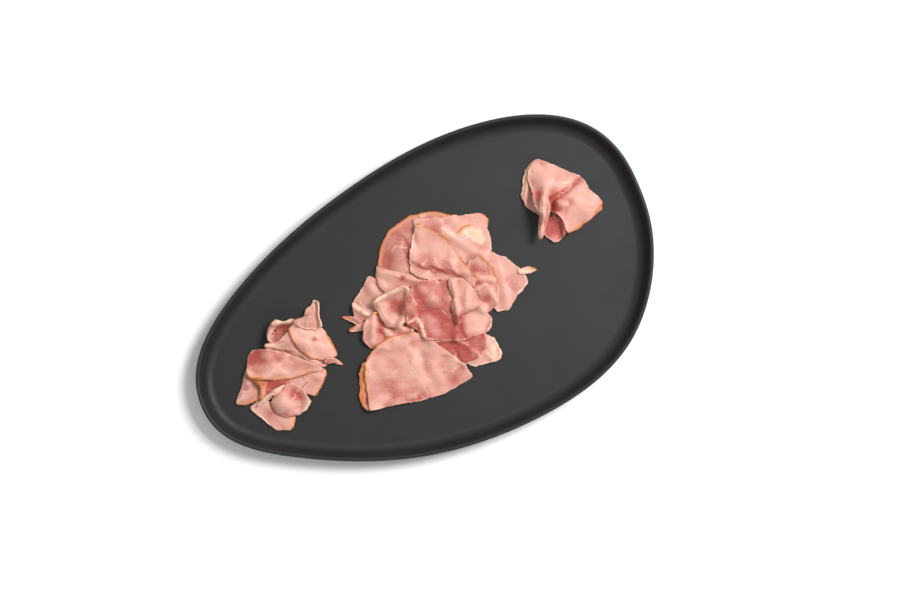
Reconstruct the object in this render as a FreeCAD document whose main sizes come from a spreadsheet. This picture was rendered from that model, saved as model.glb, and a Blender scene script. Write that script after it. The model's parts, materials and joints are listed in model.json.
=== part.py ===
import FreeCAD, Part
import math
import os
import Sketcher

# Egg-shaped deli platter, moulded in one piece, carrying three portions of shaved ham.
# Millimetres. X is the long axis towards the broad end, Z is up, and the origin is on the
# table under the middle of the platter's length and width.

SIZES = {
    "platter_length": 400.0,
    "platter_width": 242.0,
    "platter_height": 20.0,
    "lip_thickness": 3.4,
    "wall_slope": 64.0,         # degrees that the wall stands up from the floor
    "well_radius": 8.0,         # inside corner between wall and floor
    "underside_radius": 9.0,    # outside corner between wall and underside
    "floor_thickness": 5.0,
    "floor_seam": 24.0,         # how far in from the edge the rim's own floor strip ends
    "foot_height": 3.0,
    "foot_width": 5.0,
    "foot_inset": 32.0,         # from the platter's edge to the outside of the foot ring
    "foot_edge_radius": 1.0,
    "slice_gap": 0.3,           # air between a slice and what it lies on
    "slice_corner": 0.42,       # corner radius of a slice over its width
}

# The platter's edge, seen from above, as shares of half its length and half its width.
EDGE_POINTS = [
    (0.997, 0.193), (0.899, 0.659), (0.479, 0.973), (-0.089, 0.952), (-0.670, 0.672),
    (-0.986, 0.207), (-0.996, -0.044), (-0.737, -0.519), (-0.290, -0.881), (0.227, -0.998),
    (0.700, -0.795), (0.932, -0.331),
]

# Where each portion lies: the middle of its slices along and across the platter, as shares
# of the platter's half length and half width. The foremost slice of the left portion is
# placed from the edge beside it instead, so that it keeps clear of the wall.
PLACES = {
    "left_portion": (-0.642, 0.030),
    "left_front_edge": (-0.737, -0.519),
    "centre_portion": (0.034, 0.018),
    "right_portion": (0.683, 0.284),
}

# Each slice as it lies folded: its middle, along and across from its place, its turn in
# degrees, its length, width and thickness, and the slices that it lies on. With none, it
# lies on the platter's floor.
PORTION_SLICES = {
    "left_portion": {
        "front_pale_slice": (-5, 41.4, -48, 33, 17, 3.0, ()),
        "left_end_slice": (-29, -1, 44, 26, 19, 3.0, ("front_pale_slice",)),
        "right_hand_slice": (15, -9, -48, 26, 22, 3.0, ()),
        "small_curl": (14, 33, 10, 23, 17, 3.0, ()),
        "middle_under_slice": (-13, 0, -20, 29, 20, 3.0, ("left_end_slice",)),
        "lower_curled_slice": (-6, -22, 8, 24, 22, 3.0, ("middle_under_slice",)),
        "torn_strip": (-16, -10, 10, 28, 5, 3.0, ("lower_curled_slice",)),
        "under_rind_slice": (23, 9, -72, 34, 19, 3.0, ("right_hand_slice", "small_curl")),
        "middle_slice": (5, 5, -32, 53, 21, 3.0, ("middle_under_slice", "under_rind_slice")),
        "rind_edged_slice": (33, 13, -82, 34, 21, 3.0, ("middle_slice",)),
        "standing_tip": (37, 34, 78, 20, 15, 3.0, ("rind_edged_slice",)),
        "red_tail": (41, -11, -38, 15, 7, 3.0, ()),
    },
    "centre_portion": {
        "under_slice": (-60, -41, -8, 46, 32, 3.0, ()),
        "back_slice": (10, 41, -26, 61, 55, 3.0, ()),
        "right_edge_slice": (55, -8, -64, 37, 32, 3.0, ()),
        "fat_wisp": (81, -12, -10, 14, 5, 3.0, ()),
        "far_left_slice": (-45, 23, 36, 30, 20, 3.0, ()),
        "left_tail": (-65, 14, -52, 23, 5, 3.0, ()),
        "lower_tail": (-65, 7, -12, 16, 6, 3.0, ("left_tail",)),
        "pale_corner_slice": (18, -54, -52, 25, 24, 3.0, ()),
        "fat_edge_slice": (37, 38, -22, 51, 34, 3.0, ("back_slice",)),
        "right_ruffle": (42, -7, 76, 36, 23, 3.0, ("right_edge_slice",)),
        "left_band": (-14, 21, -40, 46, 20, 3.0, ("back_slice", "far_left_slice")),
        "dark_fold": (3, -32, -56, 46, 26, 3.0, ("pale_corner_slice",)),
        "upper_fold": (15, 24, -72, 60, 38, 3.0, ("fat_edge_slice", "right_ruffle", "left_band")),
        "orange_edge_fold": (-46, -7, -48, 32, 25, 3.0, ("lower_tail",)),
        "curled_slice": (-27, 9, 4, 27, 25, 3.0, ("left_band", "orange_edge_fold")),
        "front_slice": (-37, -41, -14, 75, 48, 4.0,
                        ("under_slice", "dark_fold", "orange_edge_fold")),
        "middle_top_slice": (9, -12, -26, 56, 40, 4.0,
                             ("upper_fold", "curled_slice", "front_slice")),
        "top_ruffle": (24, -11, 74, 33, 19, 3.0, ("middle_top_slice",)),
    },
    "right_portion": {
        "gathered_under_slice": (-8, 8, -54, 36, 31, 3.0, ()),
        "red_lower_slice": (-12, -18, 58, 28, 16, 3.0, ("gathered_under_slice",)),
        "gathered_slice": (1, 1, -72, 58, 40, 4.0, ("red_lower_slice",)),
        "standing_ridge": (-18, -12, 60, 30, 8, 3.0, ("gathered_slice",)),
    },
}

PLACED_FROM_EDGE = {"front_pale_slice": "left_front_edge"}

SLICE_SIZES = ("along", "across", "turn", "length", "width", "thickness")


def fill_sheet(doc):
    """One row per named size: its name beside its value, with the name as its alias."""
    sheet = doc.addObject("Spreadsheet::Sheet", "Sizes")
    rows = dict(SIZES)
    for place, (along, across) in PLACES.items():
        rows[f"{place}_along"], rows[f"{place}_across"] = along, across
    for slices in PORTION_SLICES.values():
        for name, (*values, _lies_on) in slices.items():
            for size, value in zip(SLICE_SIZES, values):
                rows[f"{name}_{size}"] = value
    for row, (name, value) in enumerate(rows.items(), start=1):
        sheet.set(f"A{row}", name)
        sheet.set(f"B{row}", str(value))
        sheet.setAlias(f"B{row}", name)
    doc.recompute()
    return sheet


def new_body(doc, name):
    body = doc.addObject("PartDesign::Body", "Body_" + name)
    body.Label = name
    return body


def new_sketch(body, name, plane="XY_Plane"):
    """A sketch flat on one of its own body's origin planes."""
    sketch = body.newObject("Sketcher::SketchObject", name)
    support = next(f for f in body.Origin.OriginFeatures if f.Role == plane)
    sketch.AttachmentSupport = [(support, "")]
    sketch.MapMode = "FlatFace"
    return sketch


def constrain(sketch, kind, *args, size=None):
    """Adds a constraint and, with size, ties it to an expression on the sheet."""
    if size is None:
        sketch.addConstraint(Sketcher.Constraint(kind, *args))
        return
    start = abs(float(FreeCAD.Units.Quantity(sketch.evalExpression(size)).Value))
    if kind == "Angle":
        start = math.radians(start)
    index = sketch.addConstraint(Sketcher.Constraint(kind, *args, start))
    sketch.setExpression(f"Constraints[{index}]", size)


# The platter ---------------------------------------------------------------------------

def closed_curve(points):
    curve = Part.BSplineCurve()
    curve.interpolate(Points=points, PeriodicFlag=True)
    return curve


def edge_points(sheet, inset=0.0):
    """The platter's edge, drawn in by inset, filling exactly its length and width."""
    length = sheet.platter_length - 2 * inset
    width = sheet.platter_width - 2 * inset
    rough = [FreeCAD.Vector(x * length / 2, y * width / 2, 0) for x, y in EDGE_POINTS]
    box = closed_curve(rough).toShape().optimalBoundingBox(False)
    fit_x = length / box.XLength
    fit_y = width / box.YLength
    return [
        FreeCAD.Vector((p.x - box.Center.x) * fit_x, (p.y - box.Center.y) * fit_y, 0)
        for p in rough
    ]


def edge_sketch(body, name, sheet, insets, height):
    """Closed outlines at the given insets, at a height that the sheet gives."""
    sketch = new_sketch(body, name)
    sketch.setExpression("AttachmentOffset.Base.z", height)
    for inset in insets:
        sketch.addGeometry(closed_curve(edge_points(sheet, inset)), False)
    return sketch


def rim_section(body, sheet):
    """The rim cut across: rounded lip, sloping wall, and a strip of floor."""
    curve = closed_curve(edge_points(sheet))
    start = curve.value(0)
    along = curve.tangent(0)[0]
    inward = FreeCAD.Vector(-along.y, along.x, 0)
    if inward.dot(start) > 0:
        inward = inward * -1
    turn = math.degrees(math.atan2(inward.y, inward.x))

    sketch = new_sketch(body, "RimSection", "XZ_Plane")
    sketch.AttachmentOffset = FreeCAD.Placement(
        FreeCAD.Vector(start.x, 0, -start.y),
        FreeCAD.Rotation(FreeCAD.Vector(0, 1, 0), turn),
    )

    # A rough drawing in the right order and on the right sides; the constraints size it.
    def at(x, z):
        return FreeCAD.Vector(x, z, 0)

    lip = sheet.lip_thickness / 2
    top = sheet.platter_height
    low = sheet.foot_height
    floor = low + sheet.floor_thickness
    seam = sheet.floor_seam
    normal = FreeCAD.Vector(0, 0, 1)
    outer_wall = sketch.addGeometry(Part.LineSegment(at(0, top - lip), at(5, low + 4)))
    under_arc = sketch.addGeometry(Part.ArcOfCircle(
        Part.Circle(at(5 + sheet.underside_radius, low + sheet.underside_radius), normal,
                    sheet.underside_radius), math.radians(205), math.radians(270)))
    underside = sketch.addGeometry(Part.LineSegment(at(14, low), at(seam, low)))
    strip_end = sketch.addGeometry(Part.LineSegment(at(seam, low), at(seam, floor)))
    floor_line = sketch.addGeometry(Part.LineSegment(at(seam, floor), at(16, floor)))
    well_arc = sketch.addGeometry(Part.ArcOfCircle(
        Part.Circle(at(16, floor + sheet.well_radius), normal, sheet.well_radius),
        math.radians(205), math.radians(270)))
    inner_wall = sketch.addGeometry(Part.LineSegment(at(9, floor + 4), at(2 * lip, top - lip)))
    lip_arc = sketch.addGeometry(Part.ArcOfCircle(
        Part.Circle(at(lip, top - lip), normal, lip), math.radians(25), math.radians(205)))

    first, last, centre = 1, 2, 3
    constrain(sketch, "Tangent", outer_wall, last, under_arc, first)
    constrain(sketch, "Tangent", under_arc, last, underside, first)
    constrain(sketch, "Coincident", underside, last, strip_end, first)
    constrain(sketch, "Coincident", strip_end, last, floor_line, first)
    constrain(sketch, "Tangent", floor_line, last, well_arc, last)
    constrain(sketch, "Tangent", well_arc, first, inner_wall, first)
    constrain(sketch, "Tangent", inner_wall, last, lip_arc, first)
    constrain(sketch, "Tangent", lip_arc, last, outer_wall, first)
    constrain(sketch, "Horizontal", underside)
    constrain(sketch, "Horizontal", floor_line)
    constrain(sketch, "Vertical", strip_end)
    constrain(sketch, "Parallel", outer_wall, inner_wall)
    constrain(sketch, "Angle", inner_wall, size="180 deg - Sizes.wall_slope * 1 deg")
    constrain(sketch, "Radius", lip_arc, size="Sizes.lip_thickness / 2")
    constrain(sketch, "Radius", well_arc, size="Sizes.well_radius")
    constrain(sketch, "Radius", under_arc, size="Sizes.underside_radius")
    constrain(sketch, "DistanceX", -1, 1, lip_arc, centre, size="Sizes.lip_thickness / 2")
    constrain(sketch, "DistanceY", -1, 1, lip_arc, centre,
              size="Sizes.platter_height - Sizes.lip_thickness / 2")
    constrain(sketch, "DistanceX", -1, 1, strip_end, first, size="Sizes.floor_seam")
    constrain(sketch, "DistanceY", -1, 1, strip_end, first, size="Sizes.foot_height")
    constrain(sketch, "DistanceY", strip_end, first, strip_end, last,
              size="Sizes.floor_thickness")
    return sketch


def edges_at(shape, height):
    """Names of the edges that lie flat at a height."""
    return [
        f"Edge{number}"
        for number, edge in enumerate(shape.Edges, start=1)
        if all(abs(edge.valueAt(u).z - height) < 0.01
               for u in (edge.FirstParameter, edge.LastParameter,
                         (edge.FirstParameter + edge.LastParameter) / 2))
    ]


def make_platter(doc, sheet):
    body = new_body(doc, "platter")

    rim = body.newObject("PartDesign::AdditivePipe", "Rim")
    path = edge_sketch(body, "RimPath", sheet, [0.0], "0 mm")
    rim.Profile = rim_section(body, sheet)
    rim.Spine = (path, ["Edge1"])
    rim.Mode = "Standard"
    doc.recompute()

    overlap = sheet.floor_seam - 0.8 * sheet.floor_thickness
    floor = body.newObject("PartDesign::Pad", "Floor")
    floor.Profile = edge_sketch(body, "FloorOutline", sheet, [overlap], "Sizes.foot_height * 1 mm")
    floor.setExpression("Length", "Sizes.floor_thickness * 1 mm")

    foot = body.newObject("PartDesign::Pad", "Foot")
    insets = [sheet.foot_inset, sheet.foot_inset + sheet.foot_width]
    foot.Profile = edge_sketch(body, "FootOutline", sheet, insets, "0 mm")
    foot.setExpression("Length", "Sizes.foot_height * 1 mm")
    doc.recompute()

    foot_edges = body.newObject("PartDesign::Fillet", "FootEdges")
    foot_edges.Base = (foot, edges_at(foot.Shape, 0.0))
    foot_edges.setExpression("Radius", "Sizes.foot_edge_radius * 1 mm")
    return body


# The ham -------------------------------------------------------------------------------

def make_slice(doc, sheet, portion, name, lies_on):
    """One folded slice as a slab with round corners, lying level on what is below it."""
    body = new_body(doc, name)
    cell = f"Sizes.{name}_"
    sketch = new_sketch(body, "Outline_" + name)
    corner = sheet.get(f"{name}_width") * sheet.slice_corner
    side = sheet.get(f"{name}_length") / 2 - corner
    end = sheet.get(f"{name}_width") / 2 - corner
    corners = [(-1, -1), (1, -1), (1, 1), (-1, 1)]
    outward = [(0, -1), (1, 0), (0, 1), (-1, 0)]
    centres = [FreeCAD.Vector(x * side, y * end, 0) for x, y in corners]
    lines = []
    arcs = []
    for number, (x, y) in enumerate(outward):
        out = FreeCAD.Vector(x, y, 0) * corner
        line = Part.LineSegment(centres[number] + out, centres[(number + 1) % 4] + out)
        lines.append(sketch.addGeometry(line))
    for number, centre in enumerate(centres):
        low = math.radians(180 + 90 * number)
        circle = Part.Circle(centre, FreeCAD.Vector(0, 0, 1), corner)
        arcs.append(sketch.addGeometry(Part.ArcOfCircle(circle, low, low + math.pi / 2)))
    for number, (line, arc) in enumerate(zip(lines, arcs)):
        constrain(sketch, "Tangent", arc, 2, line, 1)
        constrain(sketch, "Tangent", line, 2, arcs[(number + 1) % 4], 1)
        constrain(sketch, "Vertical" if number % 2 else "Horizontal", line)
    for arc in arcs[1:]:
        constrain(sketch, "Equal", arcs[0], arc)
    constrain(sketch, "Symmetric", lines[0], 1, lines[2], 1, -1, 1)
    constrain(sketch, "Radius", arcs[0], size=f"{cell}width * Sizes.slice_corner")
    constrain(sketch, "DistanceX", arcs[3], 3, arcs[2], 3,
              size=f"{cell}length - 2 * {cell}width * Sizes.slice_corner")
    constrain(sketch, "DistanceY", arcs[1], 3, arcs[2], 3,
              size=f"{cell}width - 2 * {cell}width * Sizes.slice_corner")

    slab = body.newObject("PartDesign::Pad", "Slab_" + name)
    slab.Profile = sketch
    slab.setExpression("Length", f"{cell}thickness * 1 mm")

    tops = [f"Body_{below}.Placement.Base.z + Sizes.{below}_thickness * 1 mm" for below in lies_on]
    tops.append("(Sizes.foot_height + Sizes.floor_thickness) * 1 mm")
    near = PLACED_FROM_EDGE.get(name, portion)
    place = {
        "Base.x": f"(Sizes.{near}_along * Sizes.platter_length / 2 + {cell}along) * 1 mm",
        "Base.y": f"(Sizes.{near}_across * Sizes.platter_width / 2 + {cell}across) * 1 mm",
        "Base.z": f"max({'; '.join(tops)}) + Sizes.slice_gap * 1 mm",
        "Rotation.Angle": f"{cell}turn * 1 deg",
    }
    for axis, expression in place.items():
        body.setExpression("Placement." + axis, expression)
    return body


# Build, check and write ----------------------------------------------------------------

doc = FreeCAD.newDocument("deli_platter")
sheet = fill_sheet(doc)
pieces = [make_platter(doc, sheet)]
for portion, slices in PORTION_SLICES.items():
    for name, (*_sizes, lies_on) in slices.items():
        pieces.append(make_slice(doc, sheet, portion, name, lies_on))
doc.recompute()

for item in doc.Objects:
    if "Invalid" in item.State or "Error" in item.State:
        raise RuntimeError(f"{item.Label} did not build: {item.State}")
for piece in pieces:
    if piece.Shape.isNull() or not piece.Shape.isValid() or piece.Shape.Volume <= 0:
        raise RuntimeError(f"{piece.Label} is not a sound solid")

os.makedirs("parts", exist_ok=True)
for piece in pieces:
    piece.Shape.exportStep(f"parts/{piece.Label}.step")
    size = piece.Shape.optimalBoundingBox(False)
    print(f"{piece.Label}: {size.XLength:.1f} x {size.YLength:.1f} x {size.ZLength:.1f} mm,"
          f" {piece.Shape.Volume / 1000:.1f} cm3")
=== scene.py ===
import bpy
import json
import math
import numpy as np
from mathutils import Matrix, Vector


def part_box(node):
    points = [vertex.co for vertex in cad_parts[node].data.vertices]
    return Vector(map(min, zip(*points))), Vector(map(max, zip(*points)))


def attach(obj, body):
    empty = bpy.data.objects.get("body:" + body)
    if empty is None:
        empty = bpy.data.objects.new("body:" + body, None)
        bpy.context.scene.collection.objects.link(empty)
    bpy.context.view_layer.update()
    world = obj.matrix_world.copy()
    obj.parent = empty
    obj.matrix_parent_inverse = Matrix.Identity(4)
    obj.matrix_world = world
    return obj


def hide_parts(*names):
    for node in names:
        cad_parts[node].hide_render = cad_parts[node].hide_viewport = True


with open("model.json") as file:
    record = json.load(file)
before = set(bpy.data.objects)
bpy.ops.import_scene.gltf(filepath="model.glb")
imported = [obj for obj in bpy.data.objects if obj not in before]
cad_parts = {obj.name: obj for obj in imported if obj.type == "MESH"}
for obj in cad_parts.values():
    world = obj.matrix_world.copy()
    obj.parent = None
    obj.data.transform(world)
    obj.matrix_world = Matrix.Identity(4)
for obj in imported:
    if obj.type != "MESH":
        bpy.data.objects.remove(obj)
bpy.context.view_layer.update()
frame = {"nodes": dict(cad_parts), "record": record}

mm = 0.001
bpy.ops.object.select_all(action="DESELECT")

# The studio ----------------------------------------------------------------------------
# A white table top under one soft lamp from the upper right, with soft white light all
# round. The platter lies turned on the table, and the camera looks straight down on it.
TABLE_TURN = math.radians(-26.5)


def on_table(across, up):
    """A place across and up the table, as x and y of the platter's own frame."""
    c, s = math.cos(TABLE_TURN), math.sin(TABLE_TURN)
    return across * c - up * s, across * s + up * c


camera_height = 1.5        # above the platter's lip
view_width = 0.7319        # that the camera sees at the lip
view_middle = (0.0201, -0.0028)
camera_data = bpy.data.cameras.new("camera")
camera_data.sensor_width = 36
camera_data.lens = camera_data.sensor_width * camera_height / view_width
camera = bpy.data.objects.new("camera", camera_data)
camera.location = (*view_middle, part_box("platter")[1].z + camera_height)
camera.rotation_euler = (0, 0, TABLE_TURN)
bpy.context.scene.collection.objects.link(camera)
bpy.context.scene.camera = camera

bpy.ops.mesh.primitive_plane_add(size=6, location=(0, 0, 0))
table = bpy.context.object
table.name = "table_top"
table_paint = bpy.data.materials.new("table_paint")
table_paint.use_nodes = True
table_shader = table_paint.node_tree.nodes["Principled BSDF"]
table_shader.inputs["Base Color"].default_value = (0.98, 0.98, 0.98, 1)
table_shader.inputs["Roughness"].default_value = 0.9
table_shader.inputs["Specular IOR Level"].default_value = 0.1
table.data.materials.append(table_paint)

world = bpy.data.worlds.new("studio")
world.use_nodes = True
world.node_tree.nodes["Background"].inputs["Color"].default_value = (1, 1, 1, 1)
world.node_tree.nodes["Background"].inputs["Strength"].default_value = 0.52
bpy.context.scene.world = world
bpy.context.scene.view_settings.view_transform = "Standard"

lamp_data = bpy.data.lights.new("softbox", "AREA")
lamp_data.size = 0.75
lamp_data.energy = 46
lamp = bpy.data.objects.new("softbox", lamp_data)
lamp.location = (*on_table(1.15, 0.72), 1.75)
lamp.rotation_euler = (-lamp.location).to_track_quat("-Z", "Y").to_euler()
bpy.context.scene.collection.objects.link(lamp)

# The platter ---------------------------------------------------------------------------
# Black melamine, compression moulded in one piece with its foot ring. The mould leaves a fine
# matt grain, drawn all over with a roughness that varies at random; the lip, buffed a little
# smoother by handling, is not made smoother.
platter = frame["nodes"]["platter"]
melamine = bpy.data.materials.new("black_melamine")
melamine.use_nodes = True
nodes, links = melamine.node_tree.nodes, melamine.node_tree.links
shader = nodes["Principled BSDF"]
shader.inputs["Specular IOR Level"].default_value = 0.36

place = nodes.new("ShaderNodeTexCoord").outputs["Object"]


def melamine_noise(scale, detail):
    noise = nodes.new("ShaderNodeTexNoise")
    noise.inputs["Scale"].default_value = scale
    noise.inputs["Detail"].default_value = detail
    links.new(place, noise.inputs["Vector"])
    return noise.outputs["Fac"]


def melamine_ramp(value, low, high):
    """Spreads a value of 0.3 to 0.7 from low to high."""
    ramp = nodes.new("ShaderNodeMapRange")
    for name, level in zip(("From Min", "From Max", "To Min", "To Max"), (0.3, 0.7, low, high)):
        ramp.inputs[name].default_value = level
    links.new(value, ramp.inputs["Value"])
    return ramp.outputs[0]


cloudy = melamine_noise(22, 3)
tint = nodes.new("ShaderNodeMix")
tint.data_type = "RGBA"
tint.inputs[6].default_value = (0.0195, 0.0186, 0.0190, 1)
tint.inputs[7].default_value = (0.0240, 0.0229, 0.0234, 1)
links.new(melamine_ramp(cloudy, 0, 1), tint.inputs[0])
links.new(tint.outputs[2], shader.inputs["Base Color"])
links.new(melamine_ramp(melamine_noise(60, 4), 0.47, 0.60), shader.inputs["Roughness"])
grain = nodes.new("ShaderNodeBump")
grain.inputs["Strength"].default_value = 0.25
grain.inputs["Distance"].default_value = 0.1 * mm
links.new(melamine_noise(1500, 2), grain.inputs["Height"])
links.new(grain.outputs[0], shader.inputs["Normal"])
platter.data.materials.clear()
platter.data.materials.append(melamine)

# The ham -------------------------------------------------------------------------------
# Boned leg ham, cured, smoked on its rind and sliced about a millimetre thin. Each slice is
# cut flat, ruffled and folded, and then laid on what lies there as a limp sheet.
# Lengths from here on are in mm, and * mm turns one into metres.
SLICE_THICKNESS = 1.1
SLICE_GAP = 0.3        # left between a slice and what it lies on
LOWEST_MIDDLE = 0.9    # of a slice, over the platter's floor
EDGE_LIFT = 0.6        # that a slice's edge curls up by
SETTLING_STEPS = 1500
NARROWEST = 10         # side that a flat size is given with
UV_SCALE = 100         # mm of ham to one unit of its flat map


def smooth_noise(points, size, seed):
    """Soft random heights, about -1 to 1, with bumps about size across."""
    random = np.random.default_rng(seed)
    total = np.zeros(len(points))
    for _ in range(7):
        angle = random.uniform(0, 2 * math.pi)
        length = size * random.uniform(0.75, 1.6)
        phase = random.uniform(0, 2 * math.pi)
        way = np.array([math.cos(angle), math.sin(angle)])
        total += np.sin(points @ way * 2 * math.pi / length + phase)
    return total / 3.2


def reach_of(outline, centre, angles):
    """How far an outline lies from a point inside it, in each direction."""
    reach = np.full(len(angles), np.inf)
    ways = np.stack([np.cos(angles), np.sin(angles)], 1)
    corners = outline - centre
    for a, b in zip(corners, np.roll(corners, -1, 0)):
        side = b - a
        cross = ways[:, 0] * side[1] - ways[:, 1] * side[0]
        cross[abs(cross) < 1e-9] = 1e-9
        t = (a[0] * side[1] - a[1] * side[0]) / cross
        u = (a[0] * ways[:, 1] - a[1] * ways[:, 0]) / cross
        hit = (t > 0) & (u >= -1e-6) & (u <= 1 + 1e-6)
        reach[hit] = np.minimum(reach[hit], t[hit])
    return reach


def line_distance(points, line):
    """Distance from each point to an open line of points."""
    best = np.full(len(points), 99.0)
    for a, b in zip(line[:-1], line[1:]):
        a, b = np.array(a, float), np.array(b, float)
        t = np.clip((points - a) @ (b - a) / ((b - a) @ (b - a)), 0, 1)
        best = np.minimum(best, np.hypot(*(points - a - t[:, None] * (b - a)).T))
    return best


def fold(points, through, heading, angle, radius):
    """Bends what lies to the right of a line up by an angle, round a bend of a radius."""
    way = math.radians(heading)
    right = np.array([math.sin(way), -math.cos(way)])
    turned = math.radians(abs(angle))
    sign = math.copysign(1, angle)
    past = (points[:, :2] - through) @ right
    turn = np.clip(past / radius, 0, turned)
    beyond = np.clip(past - radius * turned, 0, None)
    height = points[:, 2] * sign
    reach = radius * np.sin(turn) + beyond * math.cos(turned) - height * np.sin(turn)
    rise = radius * (1 - np.cos(turn)) + beyond * math.sin(turned) + height * np.cos(turn)
    moved = points.copy()
    moved[:, :2] += np.where(past > 0, reach - past, 0)[:, None] * right
    moved[:, 2] = np.where(past > 0, rise * sign, points[:, 2])
    return moved


def cut_slice(outline, seed, spacing, ragged):
    """A flat grid of quads that fills an outline with a torn edge, in mm."""
    following = np.roll(outline, -1, 0)
    cross = outline[:, 0] * following[:, 1] - following[:, 0] * outline[:, 1]
    area = abs(cross.sum()) / 2
    centre = ((outline + following) * cross[:, None]).sum(0) / (3 * cross.sum())
    count = max(8, int(math.sqrt(area * 4 / math.pi) / spacing))
    line = np.linspace(-1, 1, count + 1)
    a, b = (grid.ravel() for grid in np.meshgrid(line, line, indexing="ij"))
    radius = np.maximum(abs(a), abs(b))
    wide = abs(a) >= abs(b)
    a_safe, b_safe = np.where(a == 0, 1, a), np.where(b == 0, 1, b)
    angle = np.where(wide, np.where(a < 0, math.pi, 0) + math.pi / 4 * b / a_safe,
                     np.where(b < 0, -1, 1) * math.pi / 2 - math.pi / 4 * a / b_safe)
    random = np.random.default_rng(seed)
    tear = sum(np.sin(angle * turns + random.uniform(0, 2 * math.pi)) * random.uniform(0.3, 1)
               for turns in (7, 11, 17, 26, 37))
    reach = reach_of(outline, centre, angle) * (1 + ragged * tear * radius ** 6)
    flat = centre + (radius * reach)[:, None] * np.stack([np.cos(angle), np.sin(angle)], 1)
    index = np.arange((count + 1) ** 2).reshape(count + 1, count + 1)
    faces = np.stack([index[:-1, :-1], index[1:, :-1], index[1:, 1:], index[:-1, 1:]], -1)
    return flat, faces.reshape(-1, 4), radius, area


class Heap:
    """The height of the topmost slice's middle over the platter's floor, on a 1 mm grid."""

    def __init__(self):
        self.low = np.array([-190, -120])      # the grid's left and front corner
        self.high = np.zeros((380, 260))

    def cells(self, points):
        cell = np.clip((points[:, :2] - self.low).astype(int), 0, np.array(self.high.shape) - 1)
        return cell[:, 0], cell[:, 1]

    def add(self, points, faces):
        corners = points[faces]
        for u in np.linspace(0, 1, 4):
            for v in np.linspace(0, 1, 4):
                at = ((1 - u) * (1 - v) * corners[:, 0] + u * (1 - v) * corners[:, 1]
                      + u * v * corners[:, 2] + (1 - u) * v * corners[:, 3])
                np.maximum.at(self.high, self.cells(at), at[:, 2])

    def under(self, points):
        """The lowest that the middle of a sheet may lie at each point."""
        high = self.high
        for step, axis in ((1, 0), (-1, 0), (1, 1), (-1, 1)):
            high = np.maximum(high, np.roll(self.high, step, axis))
        over = high + SLICE_THICKNESS + SLICE_GAP
        return np.where(high > 0, over, LOWEST_MIDDLE)[self.cells(points)]


def neighbours(faces, count):
    """A function that gives the mean, at each point, of a value at the points beside it."""
    sides = np.r_[faces[:, [0, 1]], faces[:, [1, 2]], faces[:, [2, 3]], faces[:, [3, 0]]]
    start, end = np.unique(np.r_[sides, sides[:, ::-1]], axis=0).T
    share = 1 / np.bincount(start, minlength=count)
    return lambda value: np.bincount(start, value[end], count) * share


def let_fall(points, beside, lowest, limp):
    """The heights of a sheet after it has settled straight down on what is below it.

    Each point keeps its drawn height over its neighbours, less its weight, unless what is
    below holds it up. A limp sheet sags more where it spans a gap and droops at its edge.
    """
    height = points[:, 2] - points[:, 2].min() + lowest.max()
    drawn = points[:, 2] - beside(points[:, 2]) - limp
    for _ in range(SETTLING_STEPS):
        height = np.maximum(lowest, beside(height) + drawn)
    return height


def srgb(*levels):
    """A colour given by its screen levels, 0 to 255, as linear light."""
    return tuple(((level / 255 + 0.055) / 1.055) ** 2.4 for level in levels)


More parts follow.
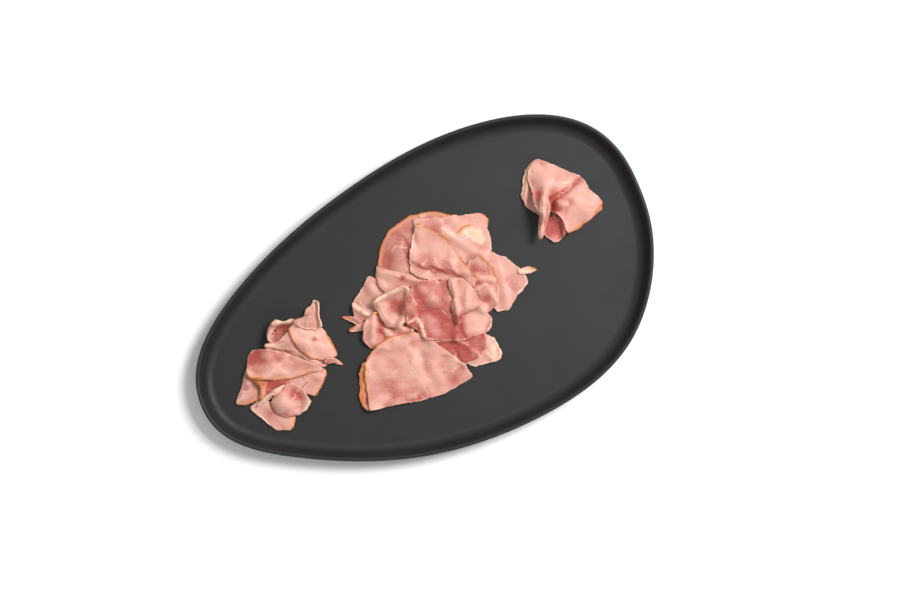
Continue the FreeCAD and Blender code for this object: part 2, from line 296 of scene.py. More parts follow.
def ham_paint():
    """Pink muscle with pale fibres, pores and seams, cream fat, and a smoked golden rind."""
    paint = bpy.data.materials.new("cured_ham")
    paint.use_nodes = True
    nodes, links = paint.node_tree.nodes, paint.node_tree.links
    shader = nodes["Principled BSDF"]
    shader.inputs["Specular IOR Level"].default_value = 0.34
    shader.inputs["Subsurface Weight"].default_value = 0.22
    shader.inputs["Subsurface Radius"].default_value = (1.0, 0.35, 0.2)
    shader.inputs["Subsurface Scale"].default_value = 2 * mm
    flat_map = nodes.new("ShaderNodeUVMap")
    flat_map.uv_map = "flat"
    flat = flat_map.outputs[0]

    def attribute(name):
        made = nodes.new("ShaderNodeAttribute")
        made.attribute_name = name
        return made.outputs["Fac"]

    def noise(scale, detail=3, rough=0.5, vector=flat):
        made = nodes.new("ShaderNodeTexNoise")
        made.inputs["Scale"].default_value = scale
        made.inputs["Detail"].default_value = detail
        made.inputs["Roughness"].default_value = rough
        links.new(vector, made.inputs["Vector"])
        return made.outputs["Fac"]

    def calculate(operation, a, b, clamp=False):
        made = nodes.new("ShaderNodeMath")
        made.operation = operation
        made.use_clamp = clamp
        for socket, value in zip(made.inputs, (a, b)):
            if isinstance(value, (int, float)):
                socket.default_value = value
            else:
                links.new(value, socket)
        return made.outputs[0]

    def between(value, low, high):
        """0 at low and 1 at high, smooth between them; low may be above high."""
        made = nodes.new("ShaderNodeMapRange")
        made.interpolation_type = "SMOOTHSTEP"
        made.inputs["From Min"].default_value = min(low, high)
        made.inputs["From Max"].default_value = max(low, high)
        made.inputs["To Min"].default_value = float(low > high)
        made.inputs["To Max"].default_value = float(low < high)
        links.new(value, made.inputs["Value"])
        return made.outputs[0]

    def blend(factor, strength, below, colour):
        """The colour below, with another over it where the factor is 1."""
        made = nodes.new("ShaderNodeMix")
        made.data_type = "RGBA"
        links.new(calculate("MULTIPLY", factor, strength), made.inputs[0])
        if isinstance(below, tuple):
            made.inputs[6].default_value = (*below, 1)
        else:
            links.new(below, made.inputs[6])
        made.inputs[7].default_value = (*colour, 1)
        return made.outputs[2]

    # The muscle, from pale pink to deep rose, and grey-beige where it has dried. The deep and dried
    # attributes also carry painted shade: a deeper pink in hollows, and grey on some shaded faces.
    patches = calculate("MULTIPLY", calculate("SUBTRACT", noise(4.5, 5, 0.6), 0.47), 1.4)
    deep_pink_and_shade = calculate("ADD", attribute("deep"), patches, clamp=True)
    colour = blend(deep_pink_and_shade, 1.0, LIGHT_HAM, DEEP_HAM)
    colour = blend(attribute("dried"), 0.75, colour, DRIED_AND_SHADE_HAM)
    colour = blend(between(noise(3.1, 2), 0.56, 0.72), 0.45, colour, PALE_HAM)

    # Fibres run one way through the muscle, and soft seams part it.
    stretched = nodes.new("ShaderNodeMapping")
    stretched.inputs["Scale"].default_value = (1.6, 8, 1)
    stretched.inputs["Rotation"].default_value = (0, 0, 0.7)
    links.new(flat, stretched.inputs["Vector"])
    fibre = noise(6, 4, 0.55, stretched.outputs[0])
    colour = blend(between(fibre, 0.5, 0.72), 0.18, colour, PALE_HAM)
    colour = blend(between(fibre, 0.46, 0.3), 0.16, colour, DEEP_HAM)
    seam = calculate("ABSOLUTE", calculate("SUBTRACT", noise(2.6, 3, 0.4), 0.5), 0)
    seam_here = calculate("MULTIPLY", between(seam, 0.012, 0.002), between(noise(5), 0.5, 0.6))
    colour = blend(seam_here, 0.5, colour, FAT)

    # Small pits and flecks of spice.
    pits = nodes.new("ShaderNodeTexVoronoi")
    pits.inputs["Scale"].default_value = 15
    links.new(flat, pits.inputs["Vector"])
    chosen = nodes.new("ShaderNodeSeparateColor")
    links.new(pits.outputs["Color"], chosen.inputs[0])
    pit = calculate("MULTIPLY", between(pits.outputs["Distance"], 0.12, 0.06),
                    between(chosen.outputs[0], 0.74, 0.76))
    colour = blend(pit, 0.75, colour, PIT)

    # The cut edge, paler from drying and partly a painted highlight, the fat and the rind, with
    # wavy borders.
    wavy = calculate("MULTIPLY", calculate("SUBTRACT", noise(20, 2), 0.5), 3.4)
    uneven = calculate("MULTIPLY", calculate("SUBTRACT", noise(7, 2), 0.5), 4.0)
    edge = between(calculate("ADD", attribute("edge_mm"), wavy), 1.2, 0.1)
    colour = blend(edge, 0.6, colour, DRY_EDGE_AND_HIGHLIGHT)
    fat = between(calculate("ADD", attribute("fat_mm"), wavy), 1.9, 0.7)
    colour = blend(fat, 0.85, colour, FAT)
    string = between(attribute("string_mm"), 0.75, 0.35)
    colour = blend(string, 0.7, colour, FAT)
    rind = calculate("ADD", attribute("rind_mm"), calculate("ADD", wavy, uneven))
    colour = blend(between(rind, 4.6, 1.5), 0.55, colour, RIND_FAT)
    smoked = calculate("ADD", attribute("rind_mm"),
                       calculate("MULTIPLY", calculate("ADD", wavy, uneven), 0.45))
    colour = blend(between(smoked, 1.7, 0.7), 0.85, colour, RIND)
    # Painted shadow: dark lines along the cuts stand for the shade inside slits and narrow gaps.
    colour = blend(between(attribute("cut_shadow_mm"), 0.75, 0.4), 0.92, colour, SHADOW)
    links.new(colour, shader.inputs["Base Color"])

    sheen = nodes.new("ShaderNodeMapRange")
    for name, level in (("From Min", 0.35), ("From Max", 0.65), ("To Min", 0.38), ("To Max", 0.58)):
        sheen.inputs[name].default_value = level
    links.new(noise(9, 3), sheen.inputs["Value"])
    links.new(sheen.outputs[0], shader.inputs["Roughness"])
    relief = calculate("ADD", noise(40, 3), calculate("MULTIPLY", fibre, 0.9))
    bump = nodes.new("ShaderNodeBump")
    bump.inputs["Strength"].default_value = 0.4
    bump.inputs["Distance"].default_value = 0.5 * mm
    links.new(calculate("SUBTRACT", relief, pit), bump.inputs["Height"])
    links.new(bump.outputs[0], shader.inputs["Normal"])
    return paint


LIGHT_HAM = srgb(224, 167, 152)
DEEP_HAM = srgb(178, 82, 74)
PALE_HAM = srgb(229, 180, 165)
DRIED_AND_SHADE_HAM = srgb(178, 128, 112)
FAT = srgb(238, 202, 174)
DRY_EDGE_AND_HIGHLIGHT = srgb(236, 186, 165)
RIND_FAT = srgb(228, 164, 124)
RIND = srgb(196, 112, 56)
PIT = srgb(150, 70, 62)
SHADOW = srgb(52, 22, 20)
HAM = ham_paint()


def lay_slice(name, outline, seed, folds=(), creases=(), bumps=(), rind=(), fat=(),
              spots=(), strings=(), cuts=(), deep=(), tone=0.3, dried=0.0, ruffle=1.6, frill=1.3,
              dome=0.0, ragged=0.018, spacing=1.7, limp=0.05):
    """Makes one slice, drawn in mm about the middle of its CAD solid, square to the table.

    ruffle, frill and dome are the heights of its waves, of its wavy edge and of its middle,
    and limp is how far a point sags below those beside it. creases are ridges (start, end,
    height, width), bumps are (middle, size, height), and folds are lines that what lies to
    their right is bent up along (through, heading, angle, radius). tone is how deep its pink
    is, dried how grey it is, and deep lists deeper patches (middle, size, strength); dried
    and deep also paint shade, dried on a shaded face and deep in hollows. rind, fat and
    strings are lines on the slice, cuts are lines painted as shadow in slits and gaps, and
    spots are dots of fat (middle, size). ragged is how torn its edge is, and spacing how far
    apart its points are.
    """
    low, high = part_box(name)
    middle = (low + high) / 2 / mm
    c, s = math.cos(TABLE_TURN), math.sin(TABLE_TURN)
    centre = np.array([middle.x * c + middle.y * s, middle.y * c - middle.x * s])
    outline = np.array(outline, float)
    flat, faces, radius, area = cut_slice(outline, seed, spacing, ragged)
    height = ruffle * (smooth_noise(flat, 36, seed) + 0.35 * smooth_noise(flat, 14, seed + 50))
    height += frill * radius ** 4 * smooth_noise(flat, 15, seed + 100)
    height += dome * (1 - radius ** 2) + EDGE_LIFT * radius ** 8
    for start, end, rise, width in creases:
        height += rise * np.exp(-(line_distance(flat, (start, end)) / width) ** 2)
    for place, size, rise in bumps:
        height += rise * np.exp(-((flat - place) ** 2).sum(1) / size ** 2)
    points = np.c_[flat, height]
    for through, heading, angle, bend in folds:
        points = fold(points, through, heading, angle, bend)
    corners = points[faces]
    flat_area = np.linalg.norm(np.cross(corners[:, 2] - corners[:, 0],
                                        corners[:, 3] - corners[:, 1]), axis=1).sum() / 2
    points[:, :2] += centre
    beside = neighbours(faces, len(points))
    points[:, 2] = let_fall(points, beside, heap.under(points), limp)
    heap.add(points, faces)

    # Painted shade: hollows are made a deeper pink than the ridges beside them.
    around = points[:, 2]
    for _ in range(14):
        around = beside(around)
    deep_pink_and_shade = tone + 0.4 * np.clip(around - points[:, 2], -1, 1.5)
    # The deep patches paint a deeper pink, much of it painted shade in the hollows of curls and
    # pinches.
    for place, size, strength in deep:
        deep_pink_and_shade += strength * np.exp(-((flat - place) ** 2).sum(1) / size ** 2)
    far = [np.full(len(flat), 99.0)]
    spot_distance = [np.hypot(*(flat - place).T) - size for place, size in spots]
    markings = {
        "deep": deep_pink_and_shade,
        "dried": np.full(len(flat), float(dried)),
        "edge_mm": line_distance(flat, np.r_[outline, outline[:1]]),
        "rind_mm": np.min(far + [line_distance(flat, line) for line in rind], 0),
        "fat_mm": np.min(far + [line_distance(flat, line) for line in fat] + spot_distance, 0),
        "string_mm": np.min(far + [line_distance(flat, line) for line in strings], 0),
        "cut_shadow_mm": np.min(far + [line_distance(flat, line) for line in cuts], 0),
    }
    x, y = on_table(points[:, 0], points[:, 1])
    mesh = bpy.data.meshes.new("ham_" + name)
    mesh.from_pydata((np.c_[x, y, points[:, 2] + floor_top] * mm).tolist(), [], faces.tolist())
    corner = np.zeros(len(mesh.loops), np.int32)
    mesh.loops.foreach_get("vertex_index", corner)
    flat_map = mesh.uv_layers.new(name="flat")
    flat_map.data.foreach_set("uv", ((flat[corner] + centre) / UV_SCALE).astype(np.float32).ravel())
    for marking, values in markings.items():
        marks = mesh.attributes.new(marking, "FLOAT", "POINT")
        marks.data.foreach_set("value", values.astype(np.float32))
    ham = bpy.data.objects.new("ham_" + name, mesh)
    bpy.context.scene.collection.objects.link(ham)
    bpy.ops.object.select_all(action="DESELECT")
    ham.select_set(True)
    bpy.context.view_layer.objects.active = ham
    rounding = ham.modifiers.new("rounding", "SUBSURF")
    rounding.levels = rounding.render_levels = 1
    body = ham.modifiers.new("body", "SOLIDIFY")
    body.thickness = SLICE_THICKNESS * mm
    body.offset = 0
    bpy.ops.object.modifier_apply(modifier="rounding")
    bpy.ops.object.modifier_apply(modifier="body")
    bpy.ops.object.shade_smooth()
    ham.data.materials.append(HAM)
    bodies = frame["record"]["behaviour"]["bodies"]
    portion = next(body for body, names in bodies.items() if name in names)
    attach(ham, portion)
    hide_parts(name)
    turns = [np.array([[math.cos(t), math.sin(t)], [-math.sin(t), math.cos(t)]])
             for t in np.radians(range(0, 90, 3))]
    sides = min((np.ptp(outline @ turn, 0) for turn in turns), key=np.prod)
    growth = math.sqrt(flat_area / area)
    width, length = sorted(max(NARROWEST, float(side) * growth) * mm for side in sides)


floor_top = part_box("back_slice")[0].z / mm
heap = Heap()

# The left portion ----------------------------------------------------------------------
# Twelve slices dropped by hand on the narrow end, the topmost edged with rind. A tip of
# the top one stands up, and shreds hang out of the heap.

lay_slice(
    "front_pale_slice",
    outline=[(-19, 5), (-13, 10), (-6, 13), (1, 9), (15, 5), (20, -1), (19, -7), (17, -13),
             (4, -13), (-3, -8), (-11, -1)],
    seed=21,
    tone=0, dome=4,
    rind=[[(20, -1), (19, -7), (17, -13)]],
    fat=[[(-19, 5), (-11, -1), (-3, -8)]],
    deep=[((-1, 3), 6, 0.8)],
    creases=[((-13, 7), (7, -10), -2.5, 4)],
)
lay_slice(
    "left_end_slice",
    outline=[(-6, 18), (4, 16), (14, 8), (12, -2), (4, -8), (-6, -12), (-16, -11), (-13, -7),
             (-9, 4)],
    seed=22,
    tone=0.45, dome=3,
    rind=[[(-16, -12), (-6, -12), (4, -8), (11, -2)]],
)
lay_slice(
    "right_hand_slice",
    outline=[(-17, -1), (-4, 5), (9, 10), (18, 3), (15, -5), (9, -17), (5, -16), (-3, -14),
             (-11, -11)],
    seed=23,
    tone=0.05, dome=3,
    rind=[[(18, 3), (15, -5), (9, -17)]],
    fat=[[(15, -5), (11, -13)]],
    cuts=[[(-3.9, -10.6), (2.1, -4.6)]],
    creases=[((-3, 5), (13, -1), 2.5, 3)],
)
lay_slice(
    "small_curl",
    outline=[(-11, -6), (-11, 1), (-5, 9), (2, 7), (10, 10), (15, 2), (9, -6), (1, -12), (-8, -12)],
    seed=24,
    tone=0.1, dried=0.25, limp=0.02,
    fat=[[(-3, 7), (7, 8)]],
    cuts=[[(-8.8, -4.7), (-4.8, 0.8)], [(-4.8, -9.7), (-0.3, -8.2), (3.7, -6.2)]],
    deep=[((3, -1), 7, 1.2)],
    bumps=[((1, -3), 6, -6)],
    creases=[((-10, -8), (-6, 5), 6, 2.6), ((-6, 6), (11, 8), 6, 2.6)],
)
lay_slice(
    "middle_under_slice",
    outline=[(-19, 10), (-2, 12), (16, 12), (18, 0), (8, -8), (-2, -13), (-10, -16), (-7, -10),
             (-8, -4), (-14, 0), (-19, 3)],
    seed=26,
    tone=0.45, dome=2, limp=0.02,
    rind=[[(-19, 3), (-14, 0), (-8, -4), (-7, -10), (-10, -16)], [(-17, 5), (-12, 2), (-6, -2)]],
    deep=[((4, -2), 9, 0.9)],
    creases=[((-18, 6), (-8, -2), 5, 3), ((-8, -2), (-6, -11), 5, 3)],
)
lay_slice(
    "lower_curled_slice",
    outline=[(-15, 0), (-9, 10), (2, 16), (11, 10), (18, 0), (15, -6), (8, -11), (-4, -13),
             (-12, -9)],
    seed=25,
    tone=0, dome=3, limp=0.02,
    fat=[[(18, 0), (15, -6), (8, -11)]],
    cuts=[[(-5.9, 8.4), (-3.9, 10.4)]],
    # The deep patch is painted shade in the hollow at the sunken bump.
    deep=[((6, 6), 8, 0.7)],
    bumps=[((-5, -1), 8, 5), ((6, 7), 7, -7)],
    creases=[((16, 4), (14, -8), 4, 2.6), ((13, -8), (0, -11), 2.5, 2.5)],
)
lay_slice(
    "torn_strip",
    outline=[(-15, -9), (-11, -4), (-5, -3), (-1, 2), (5, 4), (8, 10), (13, 13), (13, 10), (9, 6),
             (7, 1), (1, -1), (-2, -5), (-7, -7), (-11, -12)],
    seed=27,
    tone=-0.1, ragged=0.03, spacing=1.1, limp=0.03,
    fat=[[(-14, -10), (2, 0), (12, 10)]],
    cuts=[[(-8.6, -7.9), (-7.6, -6.9)], [(2.4, 1.1), (4.4, 2.1)]],
    deep=[((-5, -5), 2.5, 1.2)],
    creases=[((-12, -8), (-2, -1), 2.5, 1.6), ((0, 0), (11, 10), 2, 1.6)],
)
lay_slice(
    "under_rind_slice",
    outline=[(-22, 8), (-13, 16), (0, 16), (16, 0), (21, -8), (16, -13), (6, -11), (-6, -6),
             (-15, -1), (-27, 1), (-35, 6)],
    seed=28,
    tone=0.15, dome=4,
    fat=[[(-34, 5), (-22, 5), (-17, 0)]],
    strings=[[(-19, 7), (-12, 3), (-8, -2)], [(-17, 10), (-14, 1)]],
    cuts=[[(-27, 2.7), (-22, 1.2)]],
    creases=[((-12, 4), (8, -8), 2, 3), ((-31, 5), (-18, 3), 2, 1.6)],
)
lay_slice(
    "middle_slice",
    outline=[(-28, 13), (-15, 14), (1, 10), (14, 5), (26, 0), (32, -3), (22, -5), (11, -9),
             (1, -11), (-10, -12), (-21, -11), (-31, -10), (-33, -3), (-32, 7)],
    seed=29,
    tone=0.1, dome=6,
    rind=[[(-31, -10), (-21, -11), (-10, -12), (1, -11), (11, -9), (22, -5)]],
    deep=[((-23, 10), 10, 0.9), ((-8, 9), 8, 0.5)],
    bumps=[((-8, -3), 12, 3)],
    creases=[((-20, 3), (2, 6), -1.6, 3)],
)
lay_slice(
    "rind_edged_slice",
    outline=[(-20, 11), (-11, 18), (-1, 17), (5, 13), (11, 7), (20, -9), (18, -13), (11, -16),
             (-1, -14), (-11, -7), (-17, 2)],
    seed=30,
    tone=-0.15, dome=8,
    rind=[[(-20, 11), (-17, 2), (-11, -7), (-1, -14), (11, -16), (18, -13)], [(11, 7), (20, -9)]],
    fat=[[(-19, 12), (-11, 17), (1, 17)]],
    spots=[((14, -2), 1.5)],
    deep=[((1, 2), 2.4, 1.3)],
)
lay_slice(
    "standing_tip",
    outline=[(-10, 3), (-4, 3), (-2, -1), (0, 6), (4, 9), (6, 14), (14, 13), (19, -7), (9, -11),
             (-1, -10), (-9, -6)],
    seed=31,
    # Its dried grey-beige is partly painted shade on the face that stands up.
    tone=0, dried=0.7, dome=2, spacing=1.2, limp=0.02,
    fat=[[(6, 14), (14, 13), (19, -7)], [(7, 10), (12, -7)]],
    creases=[((-2, 1), (-2, -7), -2.5, 2), ((-8, 2), (-5, -7), 2.5, 2)],
    folds=[((8, 3), 101, 72, 1)],
)
lay_slice(
    "red_tail",
    outline=[(-9, 4), (-1, 5), (4, 2), (8, -2), (7, -4), (2, 0), (-3, 1), (-8, -1)],
    seed=32,
    tone=1, ragged=0.03, spacing=1.2,
    creases=[((-5, 2), (7, -3), 1.6, 1.6)],
)

# The centre portion --------------------------------------------------------------------
# Eighteen slices heaped in the middle: two wide ones at the back and front, and smaller
# curled and folded ones between them, with torn tails to the left and right.

lay_slice(
    "under_slice",
    outline=[(-25, 4), (-22, 13), (0, 20), (20, 13), (30, -2), (20, -14), (-4, -22), (-19, -26),
             (-24, -19)],
    seed=2,
    tone=0.6, ruffle=2.5,
    rind=[[(-22, 13), (-25, 4), (-24, -19), (-19, -26)], [(-23, 6), (-22, -18)]],
)
lay_slice(
    "back_slice",
    outline=[(-36, -12), (-35, -3), (-32, 8), (-26, 18), (-18, 24), (-10, 29), (1, 32), (11, 33),
             (24, 30), (35, 20), (36, 0), (29, -26), (10, -32), (-16, -32), (-32, -26)],
    seed=3,
    # Its deeper, greyer tone and the deep patch at its left are partly painted shade on the side
    # that tilts away from the lamp.
    tone=0.62, dried=0.3, dome=9, ragged=0.008,
    rind=[[(-32, -26), (-36, -12), (-35, -3), (-32, 8), (-26, 18), (-18, 24), (-10, 29), (1, 32),
           (11, 33), (24, 30)]],
    strings=[[(-13, 6), (-11, -2)]],
    cuts=[[(-15.8, 14.9), (-12.8, 10.9)]],
    spots=[((1, 30), 1)],
    deep=[((-11, 2), 4, 1), ((-10, -8), 4, 1), ((-29, -8), 9, 0.3)],
    bumps=[((-6, 24), 14, -2)],
    creases=[((-13, 8), (-9, -12), -3, 2)],
)
lay_slice(
    "right_edge_slice",
    outline=[(-8, 25), (7, 19), (20, 9), (26, -1), (21, -8), (17, -11), (10, -24), (0, -25),
             (-9, -17), (-20, -2), (-16, 17)],
    seed=4,
    tone=0, dome=5,
    fat=[[(10, -24), (0, -26)], [(26, -1), (21, -8), (17, -11)]],
    deep=[((12, -4), 8, 0.3)],
    creases=[((2, 14), (8, -20), 2, 4)],
)
lay_slice(
    "fat_wisp",
    outline=[(-9, 1), (1, 4), (9, 1), (2, -2), (-7, -3)],
    seed=41,
    tone=-0.3, spacing=1.1,
    rind=[[(1, 4), (9, 1)]],
    fat=[[(-8, -1), (9, 1)]],
    creases=[((-7, -1), (7, 1), 1.2, 1.5)],
)
lay_slice(
    "far_left_slice",
    outline=[(-6, 13), (-3, 21), (3, 19), (10, 14), (11, 3), (11, -5), (3, -14), (-5, -17),
             (-13, -14), (-16, -3)],
    seed=5,
    tone=-0.25, dried=0.6, ruffle=2, frill=2.5,
    fat=[[(-15, -3), (-10, -6), (-3, -11), (2, -14)]],
    cuts=[[(-11.6, -2.5), (-10.6, -0.5)]],
    creases=[((-15, -5), (1, -13), 4, 2), ((-5, 15), (7, 1), 2.5, 4)],
)
lay_slice(
    "left_tail",
    outline=[(-15, 4), (-7, 5), (1, 4), (8, 0), (13, -6), (6, -5), (-1, 0), (-8, 2)],
    seed=6,
    tone=0.35, dried=0.3, ragged=0.05, spacing=1.2,
    rind=[[(-14, 3), (-4, 4)]],
)
lay_slice(
    "lower_tail",
    outline=[(-11, -2), (-6, 1), (0, 4), (8, 7), (10, 0), (2, -1), (-6, -2)],
    seed=42,
    tone=0.1, ragged=0.04, spacing=1.2,
    rind=[[(-10, -2), (-3, 3)]],
)
lay_slice(
    "pale_corner_slice",
    outline=[(-3, 17), (10, 11), (17, -1), (14, -8), (4, -10), (-5, -13), (-13, -10), (-17, -1),
             (-11, 11)],
    seed=7,
    tone=-0.3, dome=4, ragged=0.02,
    fat=[[(10, 11), (17, -1), (14, -8), (4, -10), (-5, -13), (-13, -10)], [(0, 5), (7, -5)],
         [(9, 5), (12, -5)]],
    creases=[((3, 9), (9, -7), 2.2, 2.5)],
)
lay_slice(
    "fat_edge_slice",
    outline=[(-32, 17), (-8, 19), (11, 21), (24, 22), (29, 18), (30, 5), (32, -7), (33, -15),
             (25, -20), (17, -18), (5, -20), (-21, -12), (-29, 2)],
    seed=8,
    tone=-0.1, dome=7,
    rind=[[(25, 22), (29, 18), (30, 10)], [(4, 6), (9, 11), (14, 12)]],
    fat=[[(-8, 10), (1, 4)], [(7, 10), (12, 12)]],
    cuts=[[(7.7, 6.5), (11.7, 1.5)], [(23.7, 10.5), (24.7, 11)]],
    spots=[((13, 7), 4), ((19, 4), 4), ((23, 1), 3)],
    deep=[((-11, 12), 10, 0.6), ((19, -10), 9, 0.4)],
    creases=[((-7, 6), (25, -12), 3, 4), ((1, 16), (27, 4), 1.5, 5)],
)
lay_slice(
    "right_ruffle",
    outline=[(-3, 26), (9, 15), (13, 3), (14, -9), (11, -17), (4, -21), (-4, -17), (-12, -13),
             (-15, 1), (-12, 20)],
    seed=9,
    tone=0.05, ruffle=2, frill=2.5,
    rind=[[(-3, 26), (9, 15), (13, 3)]],
    cuts=[[(1.2, -0.5), (2.2, 0)]],
    deep=[((4, -10), 4, 1.3), ((-4, 1), 5, 0.6), ((-6, 12), 5, 0.7)],
    creases=[((-10, 9), (8, 5), 4, 2.5), ((-8, -3), (2, 1), 3.5, 2), ((6, -3), (12, -13), 3, 2),
             ((-8, -9), (2, -19), 3, 2.5)],
)
lay_slice(
    "left_band",
    outline=[(-24, 18), (-17, 14), (2, 10), (22, 6), (29, -4), (11, -12), (-14, -10), (-22, 0),
             (-25, 9)],
    seed=10,
    tone=0.1, ruffle=1.5, dome=5,
    fat=[[(-24, 18), (-25, 9)]],
    deep=[((-3, 7), 2.5, 1.2), ((17, -2), 8, 0.5)],
    creases=[((-21, 12), (19, 3), 2.5, 3)],
)
lay_slice(
    "dark_fold",
    outline=[(-28, 6), (3, 10), (25, 4), (28, -8), (23, -17), (18, -22), (10, -24), (-2, -17),
             (-16, -8)],
    seed=11,
    # Its deepest tone is partly painted shade in the fold.
    tone=1.05, dome=3,
    fat=[[(23, -17), (18, -22), (10, -24)]],
    strings=[[(-18, -5), (3, -4), (14, -9), (21, -15), (22, -20)]],
    deep=[((4, -14), 8, 0.4)],
    creases=[((-16, -5), (3, -4), 2.4, 1.3), ((3, -4), (21, -16), 2.4, 1.3)],
)
lay_slice(
    "upper_fold",
    outline=[(-16, 36), (-2, 31), (10, 22), (18, 10), (26, 1), (34, -11), (28, -23), (12, -27),
             (-8, -25), (-22, -11), (-22, 10), (-20, 22)],
    seed=13,
    tone=-0.05, ruffle=1.2, limp=0.03,
    rind=[[(-16, 36), (-2, 31), (10, 22), (18, 10), (26, 1), (34, -11)]],
    fat=[[(-16, 36), (-20, 22), (-22, 12)]],
    deep=[((-14, 3), 6, 0.8), ((-2, -2), 8, 1), ((10, -5), 8, 0.9), ((20, -8), 7, 0.7)],
    creases=[((-12, 3), (-2, -7), 1.8, 1.6), ((-2, 5), (8, -7), 1.8, 1.8),
             ((12, 5), (18, -7), 1.6, 1.8)],
    folds=[((-22, 7), -12, -60, 2.5), ((-22, -7), -12, 60, 2.5)],
)
lay_slice(
    "orange_edge_fold",
    outline=[(-19, 5), (-16, 13), (-9, 19), (-1, 17), (9, 13), (23, 5), (17, -6), (-1, -10),
             (-10, -12), (-14, -11), (-19, -4)],
    seed=12,
    tone=0.15, frill=2, limp=0.03,
    rind=[[(-11, 17), (-1, 16), (9, 12), (21, 5)]],
    deep=[((-5, 4), 4, 0.8), ((1, 14), 4, 0.6)],
    creases=[((-10, 17), (-11, -6), 4, 2.4), ((-7, 16), (-1, -6), -3, 2.2),
             ((-3, 14), (15, 4), 4, 2.2), ((-7, 8), (7, -4), 3, 2.4)],
)
lay_slice(
    "curled_slice",
    outline=[(-21, 3), (-16, 8), (-8, 12), (5, 18), (11, 13), (11, 2), (9, -10), (1, -17),
             (-9, -17), (-15, -7)],
    seed=14,
    tone=-0.35, dried=0.1, limp=0.02,
    fat=[[(-21, 3), (-8, 12), (5, 18), (11, 13)], [(11, 2), (9, -10), (1, -17)]],
    cuts=[[(7.1, 6), (7.6, 1)], [(6.1, 3), (5.1, 0)], [(-7.9, 4), (-5.9, -2)]],
    # The deep patch is painted shade in the hollow of the curl.
    deep=[((-2, 0), 6, 0.9)],
    bumps=[((-2, -1), 8, -7)],
    creases=[((-20, 4), (5, 16), 6, 2.8), ((8, 15), (9, -1), 6, 2.2), ((9, -1), (1, -15), 5, 2.4),
             ((-15, 1), (-7, -13), 3, 2.6)],
)
lay_slice(
    "front_slice",
    outline=[(-41, 3), (-36, 12), (-29, 19), (-20, 25), (-9, 27), (-1, 29), (7, 26), (17, 20),
             (30, 10), (42, 2), (48, -8), (35, -16), (22, -23), (4, -28), (-15, -31), (-37, -36),
             (-39, -23), (-41, -10)],
    seed=15,
    tone=0.1, ruffle=1.5, dome=5, ragged=0.008,
    rind=[[(-37, -36), (-39, -23), (-41, -10), (-41, 3), (-36, 12), (-29, 19), (-20, 25), (-9, 27),
           (-1, 29)]],
    strings=[[(-2, 0), (2, -8), (6, -13)], [(5, -23), (9, -28)]],
    cuts=[[(22.7, -5.8), (23.1, -6.8)], [(2.7, 15.2), (3.1, 14.8)]],
    deep=[((-20, -18), 10, 0.5), ((2, -24), 10, 0.5), ((32, -10), 9, 0.3)],
    creases=[((-14, 24), (22, -10), 1.8, 5), ((0, 18), (20, -18), -2.2, 4),
             ((-36, -8), (-6, -2), 1.8, 7)],
)
lay_slice(
    "middle_top_slice",
    outline=[(-30, 20), (-22, 24), (-13, 25), (4, 25), (13, 19), (22, 7), (30, 0), (35, -7),
             (35, -13), (31, -18), (11, -25), (-6, -25), (-19, -24), (-27, -16), (-35, -11),
             (-35, 7)],
    seed=16,
    tone=0.75, dome=8, ragged=0.007,
    fat=[[(-26, -7), (-23, -12), (-20, -22)], [(-27, -6), (-34, -11)],
         [(35, -7), (35, -13), (31, -18)]],
    cuts=[[(-1.5, 8.7), (0, 9.2)], [(-16.5, 14.7), (-16.1, 14.1)]],
    deep=[((-21, -14), 9, 0.9), ((-3, -18), 9, 0.7), ((-31, 10), 7, 0.6), ((23, -8), 11, -1.1),
          ((7, -18), 8, 0.3)],
    bumps=[((21, -8), 13, 3)],
    creases=[((-27, -4), (-19, -24), 2.5, 2), ((5, 0), (11, -22), -2.2, 3)],
)
lay_slice(
    "top_ruffle",
    outline=[(-14, 18), (-3, 19), (5, 12), (10, 4), (12, -4), (4, -8), (-1, -12), (-5, -21),
             (-9, -16), (-11, -5), (-9, 3), (-13, 10)],
    seed=17,
    tone=-0.1, ruffle=1.5, frill=2.5, dome=5, limp=0.03,
    fat=[[(-13, 10), (-9, 3), (-11, -5)]],
    cuts=[[(1.5, 0.2), (2.5, -0.8)], [(-7, -11.8), (-6.5, -12.8)]],
    deep=[((-6, -15), 4, 1.6)],
    creases=[((-10, 16), (-7, -6), 4, 2.2), ((-7, -6), (-5, -19), 3, 2), ((2, 10), (1, -6), 3, 3)],
)

# The right portion ---------------------------------------------------------------------
# One wide slice pinched together in its middle so that it stands in folds, over a dry
# slice and a deep red one that shows in the mouth of the pinch.

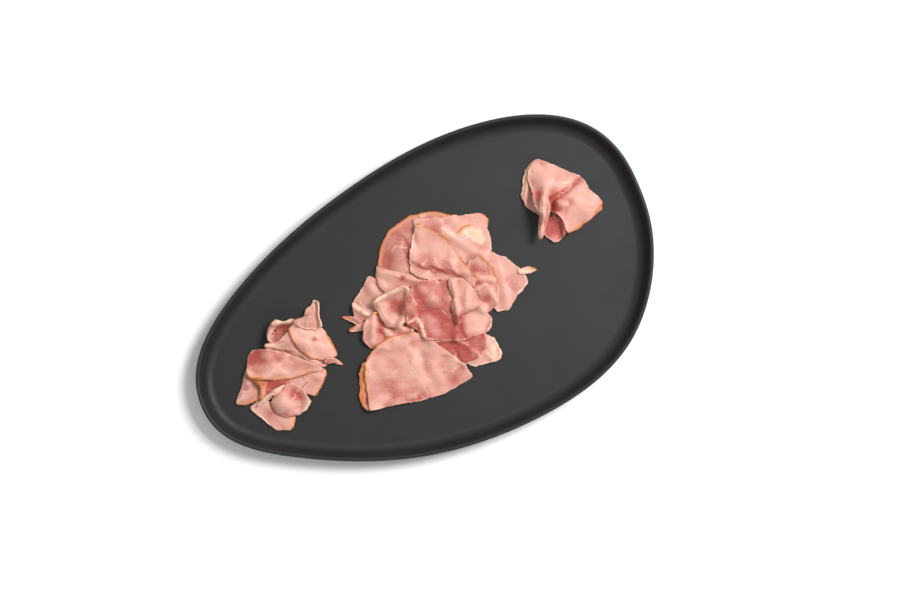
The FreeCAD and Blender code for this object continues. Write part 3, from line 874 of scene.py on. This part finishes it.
lay_slice(
    "gathered_under_slice",
    outline=[(-19, -2), (-18, 2), (-17, 12), (-13, 22), (-8, 26), (8, 17), (22, 1), (16, -17),
             (0, -21), (-9, -16), (-15, -13)],
    seed=18,
    tone=-0.1, dried=0.25, ruffle=2, dome=5,
    fat=[[(-19, -2), (-17, 12), (-13, 22)]],
    creases=[((-16, -9), (-12, 17), 2.5, 2)],
)
lay_slice(
    "red_lower_slice",
    outline=[(-7, 14), (0, 18), (8, 12), (10, 0), (9, -10), (6, -14), (3, -17), (-1, -16),
             (-6, -12), (-9, -10), (-9, 4)],
    seed=33,
    tone=0.9, ragged=0.02, spacing=1.2, limp=0.02,
    strings=[[(-2, 10), (0, 6), (1, 3), (4, 1)]],
    cuts=[[(-3.2, 8.8), (-2.4, 5.8), (-3.2, 3.3)], [(-1.9, 7.8), (-1.6, 4.8)],
          [(1.3, 7.3), (2.3, 5.8), (3.8, 4.8)]],
    deep=[((-2, 2), 6, 0.8), ((1, -13), 5, -0.6)],
    bumps=[((0, -4), 5, -2.5)],
    creases=[((8, 6), (9, -10), 5, 2.4), ((-8, 0), (-8, -10), 3, 2.4)],
)
lay_slice(
    "gathered_slice",
    outline=[(-23, 23), (-20, 27), (-16, 29), (-10, 27), (1, 22), (18, 15), (22, 11), (26, 4),
             (33, -2), (37, -7), (36, -12), (28, -20), (21, -25), (14, -30), (7, -33), (5, -23),
             (0, -17), (-5, -14), (-11, -15), (-15, -17), (-19, -11), (-22, 4), (-25, 13)],
    seed=19,
    tone=-0.1, ruffle=0.6, ragged=0.008, spacing=1.4, limp=0.02,
    rind=[[(37, -7), (28, -20), (21, -25), (7, -33)]],
    fat=[[(-23, 23), (-25, 13), (-22, 4)]],
    strings=[[(0, 3), (4, 1)]],
    # The deep patches are largely painted shade in the folds and the hollow of the pinch.
    deep=[((-6, -9), 7, 1.3), ((-1, -1), 6, 0.7), ((11, -7), 6, 0.8), ((-16, -2), 5, 0.9),
          ((11, 9), 8, 0.4), ((-4, 2), 5, 0.4), ((2, -13), 6, 0.6), ((-3, 11), 7, 0.4)],
    bumps=[((-10, 11), 13, 9), ((17, -9), 15, 10), ((-6, -13), 6, -8)],
    creases=[((19, 13), (-5, -7), -6, 3), ((-6, -5), (-6, -15), -5, 3),
             ((-11, 3), (-13, -13), 4, 3), ((0, -6), (5, -9), 2, 2.5)],
)
lay_slice(
    "standing_ridge",
    outline=[(-2, 19), (2, 17), (5, 9), (3, 1), (1, -7), (-2, -17), (-5, -18), (-5, -9), (-4, 3),
             (-4, 13)],
    seed=34,
    tone=0.05, ragged=0.006, spacing=1.1, limp=0.02,
    fat=[[(-5, -18), (-5, -9)]],
    cuts=[[(-2.2, 8.1), (-1.9, 7.1)], [(-2.7, -3.9), (-2.6, -5.9)]],
    creases=[((-1, 15), (-1, 1), 6, 2), ((-1, 1), (-3, -15), 6, 2)],
)
